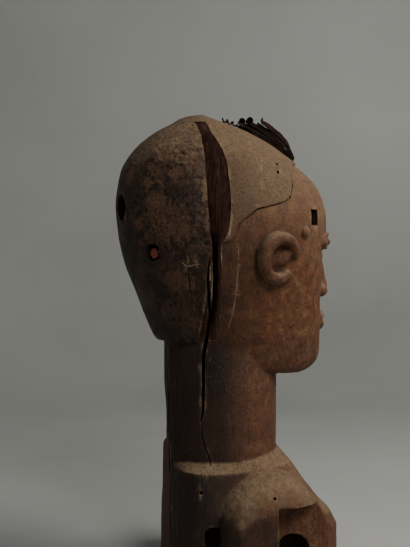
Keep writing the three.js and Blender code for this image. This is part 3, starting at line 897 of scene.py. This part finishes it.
def put_masks(made, patches):
    """Where the wood is hair, crusted, worn, dusty, warm in colour, under painted shade, pale at edges
    from wear and a painted highlight, or darkened in creases by painted shade and in a ring round the
    nape hole.
    """
    points, normals = points_of(made), normals_of(made)
    x, y, z = points.T
    in_hair = hair_share(points)
    crust = in_hair * behind_split(points)
    ragged = 0.6 * noise(points, 8, 71) + 0.4 * noise(points, 3, 72)

    upward = smoothstep(normals[:, 2] + 0.22 * ragged, 0.15, 0.85)
    high = smoothstep(z + 6 * ragged, 256, 312)
    front_dome = smoothstep(-y + 0.35 * (z - 300) + 6 * ragged, -14, 22) * high
    brow = smoothstep(z + 5 * ragged, 236, 292) * smoothstep(-y + 6 * ragged, 30, 58)
    crown = smoothstep(z + 5 * ragged, 325, 356)
    dust = np.maximum(upward * (1 - 0.2 * in_hair), 0.62 * front_dome)
    dust = np.maximum(dust, np.maximum(0.5 * brow, 0.62 * crown))

    neck_here = smoothstep(194 - z, 0, 10)
    warm = (0.2 + 0.8 * smoothstep(-y + 8 * ragged, -22, 30)) * (1 - 0.3 * neck_here)
    # Painted shade: darker towards the back, away from the light, round the ear, on the arm under the
    # shoulder and nearly black in the gap between arm and torso; less of it low on the far back.
    painted_shade = smoothstep(y + 9 * ragged + 16 * neck_here, 6, 36) * smoothstep(300 - z, 0, 90)
    from_ear = np.hypot(y - EAR_Y, z - EAR_Z)
    painted_shade = np.maximum(painted_shade, 0.4 * (np.abs(x) > 60) * (1 - smoothstep(from_ear + 3 * ragged, 17, 25)))
    far_back = (x > SPINE_X + 1.5) * smoothstep(y, 30, 38) * (z < RAISED_LEDGE_Z + 2)
    painted_shade *= 1 - 0.8 * far_back
    warm = np.maximum(warm, 0.6 * far_back)
    arm = smoothstep(np.abs(x), 57, 62) * smoothstep(80 - z + 8 * ragged, 0, 24)
    in_gap = (np.abs(x) > GAP_INSIDE - 1) * smoothstep(TORSO_FLANK - np.abs(x), 0.6, 5)
    in_gap *= (y > ARCH_FRONT - 1) * (y < GAP_BACK + 1) * (z < GAP_TOP + 1)
    painted_shade = np.maximum(painted_shade, np.maximum(0.8 * arm, 0.97 * in_gap))

    near_split = smoothstep(-x, 40, 55) * smoothstep(46 - y + 6 * ragged, 0, 16)
    bend = bends(made, points, normals)
    # A darker ring round the nape hole.
    hole_x, hole_y, hole_z = NAPE_HOLE
    from_hole = np.hypot((x * hole_y - y * hole_x) / math.hypot(hole_x, hole_y), z - hole_z)
    nape_ring = (y > 0) * (1 - smoothstep(from_hole + 3 * ragged, 7, 16))
    # The edge mask: pale on convex places, from wear and as a painted highlight. The last mask: painted
    # shade in concave creases, with the ring round the nape hole.
    masks = (
        in_hair, crust, worn_field(points, patches), dust, warm, painted_shade,
        crust * near_split * smoothstep(z, 262, 292), smoothstep(bend, 0.035, 0.18),
        np.maximum(smoothstep(-bend, 0.02, 0.13), nape_ring),
    )
    for name, values in zip(WOOD_MASKS, masks):
        put_mask(made, name, values)


# Materials


class Look:
    """A number or a colour that varies over a surface, as a shader node gives it out."""

    def __init__(self, tree, kind, inputs, output=0, **settings):
        made = tree.nodes.new("ShaderNode" + kind)
        for name, value in settings.items():
            setattr(made, name, value)
        for name, value in inputs.items():
            entry = made.inputs[name]
            if isinstance(value, Look):
                tree.links.new(value.output, entry)
            else:
                entry.default_value = (*value, 1) if entry.type == "RGBA" else value
        self.tree = tree
        self.output = made.outputs[output] if made.outputs else None

    def reckon(self, operation, first, second):
        return Look(self.tree, "Math", {0: first, 1: second}, operation=operation)

    def __add__(self, other):
        return self.reckon("ADD", self, other)

    def __sub__(self, other):
        return self.reckon("SUBTRACT", self, other)

    def __rsub__(self, other):
        return self.reckon("SUBTRACT", other, self)

    def __mul__(self, other):
        return self.reckon("MULTIPLY", self, other)

    def ramp(self, low, high, to_low=0.0, to_high=1.0):
        """A value that follows this one from low to high and stops there."""
        inputs = {
            "Value": self, "From Min": low, "From Max": high, "To Min": to_low, "To Max": to_high,
        }
        return Look(self.tree, "MapRange", inputs, clamp=True)

    def blend(self, under, over):
        """A colour from one to the other as this value goes from 0 to 1."""
        return Look(self.tree, "Mix", {0: self, 6: under, 7: over}, 2, data_type="RGBA")

    def paint(self, low, high, under, over, share=1.0):
        """One colour laid over another, up to a share, as this value goes from low to high."""
        return self.ramp(low, high, 0.0, share).blend(under, over)


def new_material(name):
    material = bpy.data.materials.new(name)
    material.use_nodes = True
    material.node_tree.nodes.clear()
    return material, material.node_tree


def mask(tree, name):
    return Look(tree, "Attribute", {}, "Fac", attribute_name=name)


def where(tree, stretch=(1, 1, 1)):
    """Object coordinates in metres, squeezed along some axes."""
    place = Look(tree, "TexCoord", {}, "Object")
    return Look(tree, "Mapping", {"Vector": place, "Scale": stretch})


def speckle(place, size, detail=3.0, roughness=0.55, distortion=0.0):
    """Noise with lumps of a size in millimetres."""
    inputs = {
        "Vector": place, "Scale": 1 / (size * MM), "Detail": detail, "Roughness": roughness,
        "Distortion": distortion,
    }
    return Look(place.tree, "TexNoise", inputs, "Fac")


def finish(material, colour, roughness, height, depth, **constants):
    """Puts a material together; the height makes a bump of a depth in millimetres."""
    tree = material.node_tree
    bump = Look(tree, "Bump", {"Height": height, "Strength": 1.0, "Distance": depth * MM}, "Normal")
    inputs = {"Base Color": colour, "Roughness": roughness, "Normal": bump}
    inputs.update({name.replace("_", " "): value for name, value in constants.items()})
    Look(tree, "OutputMaterial", {"Surface": Look(tree, "BsdfPrincipled", inputs)})
    return material


def grain(tree):
    """The upright grain of the log: its growth rings and its fine fibres, both from 0 to 1."""
    rings = Look(tree, "TexWave", {
        "Vector": where(tree, (1, 1, 0.07)), "Scale": 105.0, "Distortion": 2.2, "Detail": 3.0,
        "Detail Scale": 1.4, "Detail Roughness": 0.6,
    }, "Fac", wave_type="RINGS", rings_direction="Z")
    return rings, speckle(where(tree, (1, 1, 0.11)), 1.4, 4.0, 0.65, 0.4)


def bare_red(tree, rings, fibres, fine, blotch, broad):
    """The wood of the skin: red-brown, with paler, orange and ochre patches."""
    red = fibres.paint(0.3, 0.7, (0.086, 0.030, 0.014), (0.166, 0.062, 0.027))
    red = fine.paint(0.5, 0.7, red, (0.235, 0.105, 0.043), 0.5)
    red = rings.paint(0.3, 0.95, red, (0.040, 0.016, 0.009), 0.2)
    orange = speckle(where(tree, (1, 1, 0.45)), 9, 4.0)
    red = orange.paint(0.5, 0.66, red, (0.240, 0.096, 0.038), 0.5)
    ochre = blotch.ramp(0.47, 0.6) * broad.ramp(0.46, 0.6) * 0.6
    return ochre.blend(red, (0.185, 0.106, 0.052))


def scalp_colour(tree, worn, pits, fine, blotch, patchy):
    """The dark crust behind the split, down to bare wood where it is worn, chafed and pitted."""
    crust = patchy.paint(0.35, 0.68, (0.008, 0.0045, 0.003), (0.034, 0.018, 0.011))
    crust = fine.paint(0.52, 0.72, crust, (0.068, 0.038, 0.024), 0.6)
    bare = fine.paint(0.3, 0.68, (0.044, 0.020, 0.011), (0.125, 0.063, 0.034))
    bare = blotch.paint(0.5, 0.66, bare, (0.026, 0.012, 0.008), 0.6)
    worn_here = worn + (blotch - 0.5) * 0.75 + (patchy - 0.5) * 0.5
    scalp = worn_here.paint(0.42, 0.66, crust, bare)
    scalp = (pits * 0.8).blend(scalp, (0.010, 0.006, 0.004))
    chafed = speckle(where(tree, (1, 0.5, 0.5)), 1.5, 3.0, 0.7, 1.0)
    return chafed.paint(0.6, 0.72, scalp, (0.150, 0.092, 0.060), 0.4)


def old_wood():
    """Carved wood: red-brown under a dark crust on the hair, with painted shade behind, in the gaps and
    in creases, painted highlights on worn edges, and dusty on top.
    """
    material, tree = new_material("old_wood")
    rings, fibres = grain(tree)
    place = where(tree)
    hair_here, crusted, worn, dust, warm, painted_shade, speckled, edge, crease_shade_and_ring = (
        mask(tree, name) for name in WOOD_MASKS
    )
    broad = speckle(place, 26, 3.0)
    blotch = speckle(place, 8, 5.0, 0.62)
    patchy = speckle(place, 4, 4.0, 0.65, 0.6)
    fine = speckle(place, 1.6, 4.0, 0.6)
    grit = speckle(place, 0.6, 3.0, 0.6)
    pits = speckle(where(tree, (1, 1, 0.6)), 2.4, 2.0, 0.6, 0.8).ramp(0.6, 0.68)

    brown = fibres.paint(0.3, 0.7, (0.024, 0.011, 0.007), (0.072, 0.033, 0.017))
    skin = warm.blend(brown, bare_red(tree, rings, fibres, fine, blotch, broad))
    skin = patchy.paint(0.48, 0.66, skin, (0.028, 0.012, 0.007), 0.65)
    skin = blotch.paint(0.55, 0.42, skin, (0.036, 0.016, 0.009), 0.35)
    tan = fine.paint(0.3, 0.7, (0.055, 0.029, 0.015), (0.112, 0.063, 0.032))
    tan = patchy.paint(0.5, 0.75, tan, (0.060, 0.034, 0.018), 0.5)
    scalp = scalp_colour(tree, worn, pits, fine, blotch, patchy)
    wood = crusted.blend(hair_here.blend(skin, tan), scalp)
    # Painted shade, at the back, round the ear, on the arm and in the gaps.
    shade_share = painted_shade * broad.ramp(0.25, 0.7, 0.6, 0.95) * (1 - crusted * 0.5)
    wood = shade_share.blend(wood, (0.012, 0.007, 0.005))

    mottled = patchy * 0.55 + fine * 0.3 + grit * 0.15
    powder = mottled.paint(0.36, 0.68, (0.104, 0.066, 0.037), (0.256, 0.175, 0.104))
    hold = (blotch * 0.4 + fine * 0.45 + grit * 0.15).ramp(0.36, 0.56, 0.62, 0.96)
    powdered = dust * (hold * crusted.ramp(0, 1, 1.0, 0.9))
    wood = powdered.blend(wood, powder)

    dots = speckle(place, 0.9, 1.5).ramp(0.55, 0.68)
    wood = (speckled * dots * 0.6).blend(wood, (0.120, 0.090, 0.068))
    flecks = speckle(place, 1.3, 1.0).ramp(0.7, 0.77) * broad.ramp(0.38, 0.6)
    wood = (flecks * 0.55).blend(wood, (0.300, 0.225, 0.150))
    # Pale convex edges: wear and a painted highlight.
    rubbed_and_highlit = edge * fine.ramp(0.35, 0.6, 0.2, 0.75)
    wood = rubbed_and_highlit.blend(wood, (0.250, 0.156, 0.085))
    # Painted shade in creases, and a darker ring round the nape hole.
    wood = (crease_shade_and_ring * 0.75).blend(wood, (0.016, 0.009, 0.006))

    height = (fibres * 0.5 + rings * 0.12) * (1 - hair_here * 0.65)
    height = height + fine * 0.6 + patchy * 0.5 + grit * 0.15 - pits * crusted * 0.5
    rough = blotch.ramp(0.3, 0.7, 0.46, 0.62) + (1 - crusted) * 0.12
    rough = (rough + powdered * 0.3).ramp(0, 1)
    return finish(material, wood, rough, height, 0.9, Specular_IOR_Level=0.2)


def torn_wood():
    """The bed of the splinter: dull brown fibres, lighter where the wood is torn."""
    material, tree = new_material("torn_wood")
    _, fibres = grain(tree)
    coarse = speckle(where(tree, (1, 1, 0.1)), 3.2, 4.0, 0.6)
    colour = fibres.paint(0.3, 0.7, (0.026, 0.012, 0.008), (0.095, 0.045, 0.029))
    colour = coarse.paint(0.52, 0.7, colour, (0.140, 0.072, 0.048), 0.45)
    colour = speckle(where(tree), 7, 4.0).paint(0.45, 0.7, colour, (0.014, 0.006, 0.004), 0.6)
    height = fibres * 0.6 + coarse * 0.6
    return finish(material, colour, 0.85, height, 1.0, Specular_IOR_Level=0.1)


def crack_wood():
    """The walls of cracks and holes, painted nearly black as the shade deep inside them."""
    material, tree = new_material("crack_wood")
    _, fibres = grain(tree)
    colour = fibres.paint(0.35, 0.75, (0.006, 0.004, 0.003), (0.032, 0.017, 0.011))
    return finish(material, colour, 0.9, fibres, 0.4, Specular_IOR_Level=0.2)


def scored_wood():
    """Scored lines and small chips that show paler wood."""
    material, tree = new_material("scored_wood")
    _, fibres = grain(tree)
    colour = fibres.paint(0.3, 0.7, (0.130, 0.070, 0.038), (0.300, 0.200, 0.125))
    colour = speckle(where(tree), 1.1, 4.0).paint(0.55, 0.7, colour, (0.420, 0.330, 0.240))
    return finish(material, colour, 0.8, fibres, 0.3, Specular_IOR_Level=0.3)


def dark_hide():
    """Dried hide: nearly black, reddish where it is thin, with pale edges that are worn and painted as
    highlights.
    """
    material, tree = new_material("dark_hide")
    place = where(tree)
    wrinkle = speckle(place, 2.4, 4.0, 0.6, 0.6)
    pore = speckle(place, 0.5, 3.0)
    colour = wrinkle.paint(0.35, 0.7, (0.004, 0.0022, 0.0016), (0.014, 0.005, 0.003))
    colour = speckle(place, 5, 2.0).paint(0.46, 0.64, colour, (0.034, 0.008, 0.004), 0.6)
    # Pale edges: worn hide and a painted highlight along them.
    worn = mask(tree, "edge") * pore.ramp(0.3, 0.65, 0.3, 1.0) * 0.85
    colour = worn.blend(colour, (0.230, 0.185, 0.155))
    rough = pore.ramp(0.3, 0.7, 0.62, 0.8)
    return finish(material, colour, rough, wrinkle * 0.7 + pore * 0.3, 0.4, Specular_IOR_Level=0.06)


def peg_wood():
    """The broken end of a reddish peg."""
    material, tree = new_material("peg_wood")
    fibres = speckle(where(tree), 0.7, 4.0, 0.65)
    colour = fibres.paint(0.3, 0.7, (0.075, 0.016, 0.007), (0.230, 0.062, 0.024))
    colour = speckle(where(tree), 2.6, 3.0).paint(0.5, 0.7, colour, (0.05, 0.014, 0.010), 0.5)
    return finish(material, colour, 0.7, fibres, 0.3, Specular_IOR_Level=0.35)


def dark_iron():
    """Small hand-forged studs, worn to a dull shine."""
    material, tree = new_material("dark_iron")
    pits = speckle(where(tree), 0.5, 4.0, 0.6)
    rust = speckle(where(tree), 1.6, 3.0)
    colour = rust.paint(0.52, 0.72, (0.035, 0.032, 0.030), (0.085, 0.038, 0.020))
    return finish(material, colour, pits.ramp(0.3, 0.7, 0.42, 0.62), pits, 0.15, Metallic=0.6)


# The crest, the peg and the studs


def dome_line():
    """The middle line of the hair from the brow to the crown, as y and z, with many points."""
    high = [(-front, z) for z, _, front, _, _, _ in HAIR_RINGS if z >= 314]
    return spline(high, np.linspace(0, 1, 400))


def on_dome(line, y):
    """The point of the dome's middle line at each y, and the direction along it."""
    z = np.interp(y, line[:, 0], line[:, 1])
    slope = np.gradient(line[:, 1], line[:, 0])
    steep = np.interp(y, line[:, 0], slope)
    length = np.sqrt(1 + steep**2)
    return np.stack([y, z], 1), np.stack([1 / length, steep / length], 1)


def risen(shares):
    """How far a strip has come off the hair at shares of its length, from 0 to 1."""
    return 1 - (1 - shares) ** STRIP_STEEPNESS


def strip_path(index, line):
    """The middle line of a strip, with the roll at its end, and its points as shares of it."""
    x, end, lift, _, layer, _, rolled = STRIPS[index]
    steps = 60
    shares = np.linspace(0, 1, steps)
    at, along = on_dome(line, STRIP_FRONT + shares * (end - STRIP_FRONT))
    below = CLEARANCE + STRIP_THICKNESS * (0.9 + layer * 1.4)
    stand = below + lift * risen(shares) - x**2 / DOME_FALL
    outwards = np.stack([-along[:, 1], along[:, 0]], 1)
    path = np.column_stack([np.full(steps, float(x)), at + outwards * stand[:, None]])
    if rolled:
        path = np.concatenate([path, end_roll(path, rolled)])
    return path, np.clip(np.arange(len(path)) / (steps - 1), 0, 1)


def strip(index, line, hide):
    """One strip of hide: cupped, uneven at its edges, raised off the hair and rolled at its end."""
    _, _, _, turn, _, body, _ = STRIPS[index]
    half, thick = STRIP_WIDTH / 2, STRIP_THICKNESS / 2
    path, shares = strip_path(index, line)
    travel, _, _ = frames(path, (1, 0, 0))
    normal = np.column_stack([0 * shares, -travel[:, 2], travel[:, 1]])
    level = np.tile((-1.0, 0.0, 0.0), (len(path), 1))
    under = body * risen(shares) * (1 - smoothstep(shares, 0.6, 1))
    roll = (-math.radians(turn) * risen(shares))[:, None]
    across = level * np.cos(roll) + normal * np.sin(roll)
    up = -level * np.sin(roll) + normal * np.cos(roll)

    columns = np.sin(np.linspace(-0.5, 0.5, 19) * math.pi)
    wide = 1.12 - 0.35 * (1 - smoothstep(shares, 0, 0.2)) - 0.1 * smoothstep(shares, 0.85, 1)
    cup = 0.55 + 0.35 * np.sin(6 * shares + index)
    layers = np.arange(LAYER_POINTS)
    layered = np.linspace(0, 1, LAYER_POINTS + 2)[1:-1, None]
    rings = []
    for i, here in enumerate(path):
        edges = np.array([here, here + (40, 0, 0)])
        fray = 0.45 * noise(edges, 3.0, 80 + index) + 0.25 * noise(edges, 1.3, 90 + index)
        reach = np.where(columns < 0, half + fray[0], half + fray[1]) * wide[i]
        crease = 0.25 * noise(here + np.outer(columns, (3.0, 0, 0)), (2.2, 5, 5), 100 + index)
        skin = thick * (1 - 0.5 * columns**4) * (0.85 + 0.15 * math.cos(9 * shares[i] + index))
        height = cup[i] * (columns**2 - 0.4) + crease
        wide_by = (columns * reach)[:, None] * across[i]
        outer = here + wide_by + (height + skin)[:, None] * up[i]
        inner = here + wide_by + (height - skin - under[i])[:, None] * up[i]
        notch = across[i] * (layers % 2 * 0.4 * min(1, under[i] / 1.2))[:, None]
        right = outer[-1] + (inner[-1] - outer[-1]) * layered - notch
        left = inner[0] + (outer[0] - inner[0]) * layered + notch
        rings.append(np.concatenate([outer, right, inner[::-1], left]))
    made = loft(f"hide_strip_{index + 1}", rings, hide)
    # The edge mask marks the pale edges: worn hide and a painted highlight.
    face = smoothstep(np.abs(columns), 0.975, 0.995)
    sides = (layers == LAYER_POINTS // 2) * 0.8
    put_mask(made, "edge", np.array([*[*face, *sides, *face[::-1], *sides] * len(path), 1, 1]))
    return made


def end_roll(path, rolled):
    """Points that carry a strip on into a small tight roll at its free end."""
    x, y, z = path[-1]
    _, run, climb = path[-1] - path[-4]
    heading = math.atan2(climb, run)
    step, count = 0.5, int(9 * rolled) + 3
    points = []
    for i in range(count):
        heading += step / (1.1 - 0.4 * i / count)
        y += step * math.cos(heading)
        z += step * math.sin(heading)
        points.append((x + 0.02 * i, y, z))
    return np.array(points)


def curl(line, hide):
    """A shred of hide, twisted on the hair behind the strips."""
    shares = np.linspace(0, 1, 220)
    turns = shares * 19.2
    at, _ = on_dome(line, 4 - shares * 12.6)
    path = np.column_stack([
        -14 + 1.9 * np.sin(turns), at[:, 0], at[:, 1] + 2 + 1.1 * np.cos(turns),
    ])
    corners = 12
    sections = []
    for share in shares:
        flat = oval(1.1 + 0.2 * math.sin(23 * share), 0.6, corners)
        sine, cosine = math.sin(14 * share), math.cos(14 * share)
        twisted = flat @ np.array(((cosine, sine), (-sine, cosine)))
        sections.append(twisted * (0.55 + 0.45 * math.sin(math.pi * share) ** 0.5))
    made = sweep("hide_curl", path, sections, (0.2, 0.1, 1), hide)
    # Pale edges of the shred: worn hide and a painted highlight.
    ends = smoothstep(np.abs(circle(corners)[0]), 0.9, 1.0)
    put_mask(made, "edge", np.array([*np.tile(ends, len(shares)), 1, 1]))
    return made


def peg(wood):
    """The peg, snapped off inside its hole."""
    out, spokes = spokes_at(PEG_PLACE, 32)
    end = np.array(PEG_PLACE, float)
    rings = []
    for reach in np.linspace(-PEG_LENGTH, -1.6, 12):
        middle = end + out * reach
        rough = 0.12 * noise(middle + spokes * PEG_RADIUS, 1.5, 111)
        rings.append(middle + spokes * (PEG_RADIUS - CLEARANCE / 2 + rough)[:, None])
    for share in (0.96, 0.8, 0.6, 0.4, 0.2, 0.06):
        spread = end + spokes * PEG_RADIUS * share
        splinter = noise(spread, 1.3, 112) * 0.7 - 0.7
        rings.append(spread + out * splinter[:, None])
    return loft("broken_peg", rings, wood)


def stud(name, place, iron):
    """A stud with a hand-beaten round head."""
    made = ellipsoid(name, (STUD_RADIUS, STUD_RADIUS, STUD_RADIUS), place, 0, 40, iron)
    points = points_of(made)
    beaten = 0.10 * noise(points, 1.4, 121) - 0.06
    put_points(made, points + normals_of(made) * beaten[:, None])
    return made


# Camera, lights and stage


def camera():
    data = bpy.data.cameras.new("camera")
    data.sensor_width = 36
    data.lens = FOCAL_PIXELS / PHOTO_HEIGHT * data.sensor_width
    made = bpy.data.objects.new("camera", data)
    made.location = CAMERA_PLACE * MM
    made.rotation_euler = CAMERA_LOOK.to_track_quat("-Z", "Y").to_euler()
    bpy.context.scene.collection.objects.link(made)
    bpy.context.scene.camera = made


def stage():
    """A pale floor that curves up all round, with painted light that makes it paler towards the upper
    right.
    """
    radius, height, rise = 900, 1500, 600
    profile = [(0.01, 0.0), (300, 0), (700, 0)]
    for turn in np.radians(np.arange(0, 91, 6)):
        profile.append((radius + rise * math.sin(turn), rise * (1 - math.cos(turn))))
    profile.append((radius + rise, height))
    count = 96
    cosine, sine = circle(count)
    points = [np.stack([reach * cosine, reach * sine, np.full(count, z)], 1) for reach, z in profile]
    material, tree = new_material("stage_paper")
    place = where(tree)
    inputs = {0: place, 1: (-0.3, -0.95, 0)}
    to_right = Look(tree, "VectorMath", inputs, "Value", operation="DOT_PRODUCT")
    upwards = Look(tree, "SeparateXYZ", {"Vector": place}, "Z")
    # Painted light: the paper is paler towards the upper right.
    painted_light = to_right.ramp(-0.5, 0.35) * upwards.ramp(0.15, 0.6)
    share = painted_light * 0.75 + speckle(place, 260, 3.0) * 0.35
    colour = share.blend((0.36, 0.368, 0.352), (0.64, 0.648, 0.622))
    finish(material, colour, 0.95, speckle(place, 3, 2.0), 0.05, Specular_IOR_Level=0.1)
    points = np.concatenate(points) - (0, 0, 0.3)
    floor = mesh_object("stage", points, bands(len(profile), count).tolist(), material)
    floor.data.shade_smooth()


def lights():
    """Soft lights from the figure's front, from beside the camera and from behind it."""
    up = Vector((0, 0, 1))
    right, towards = CAMERA_LOOK.cross(up), -CAMERA_LOOK
    for name, to_right, nearer, higher, size, watts, colour in LIGHTS:
        data = bpy.data.lights.new(name, "AREA")
        data.size, data.energy, data.color = size, watts, colour
        made = bpy.data.objects.new(name, data)
        made.location = LIGHTS_AIM + right * to_right + towards * nearer + up * higher
        made.rotation_euler = (LIGHTS_AIM - made.location).to_track_quat("-Z", "Y").to_euler()
        made.visible_camera = False
        bpy.context.scene.collection.objects.link(made)
    world = bpy.data.worlds.new("studio")
    world.use_nodes = True
    background = world.node_tree.nodes["Background"]
    background.inputs["Color"].default_value = (0.9, 0.95, 1, 1)
    background.inputs["Strength"].default_value = 0.12
    bpy.context.scene.world = world


# Making it all


def dress(piece, node_name, sharp_from=180):
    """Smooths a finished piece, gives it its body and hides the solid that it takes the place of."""
    piece.data.shade_smooth()
    if sharp_from < 180:
        piece.data.set_sharp_from_angle(angle=math.radians(sharp_from))
    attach(piece, "root")
    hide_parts(node_name)


def make_figure():
    crack, hole = crack_wood(), STUD_RADIUS + CLEARANCE
    figure, pupil = carving(old_wood())
    even_out(figure)
    even = surface(figure)
    patches = [(landing(even, seen(px, py))[0], size) for px, py, size in WORN_PATCHES]
    relief(figure, patches)
    thin_out(figure, CARVING_TRIANGLES)
    for side in (-1, 1):
        place = (side * -pupil[0], pupil[1], pupil[2])
        combine(figure, ellipsoid("stud_hole", (hole, hole, hole), place, 0, 32, crack))
    cut_all(figure, torn_wood(), crack, scored_wood())
    put_masks(figure, patches)
    figure.name = "carved_wood"
    dress(figure, "carved_figure", 52)
    return pupil


camera()
lights()
stage()
pupil_x, pupil_y, pupil_z = make_figure()
hide, line = dark_hide(), dome_line()
for index in range(len(STRIPS)):
    dress(strip(index, line, hide), f"crest_strip_{index + 1}", 60)
dress(curl(line, hide), "crest_curl")
dress(peg(peg_wood()), "nape_peg")
iron = dark_iron()
for side, name in ((1, "right"), (-1, "left")):
    made = stud(f"pupil_stud_{name}", (side * pupil_x, pupil_y, pupil_z), iron)
    dress(made, f"eye_stud_{name}")
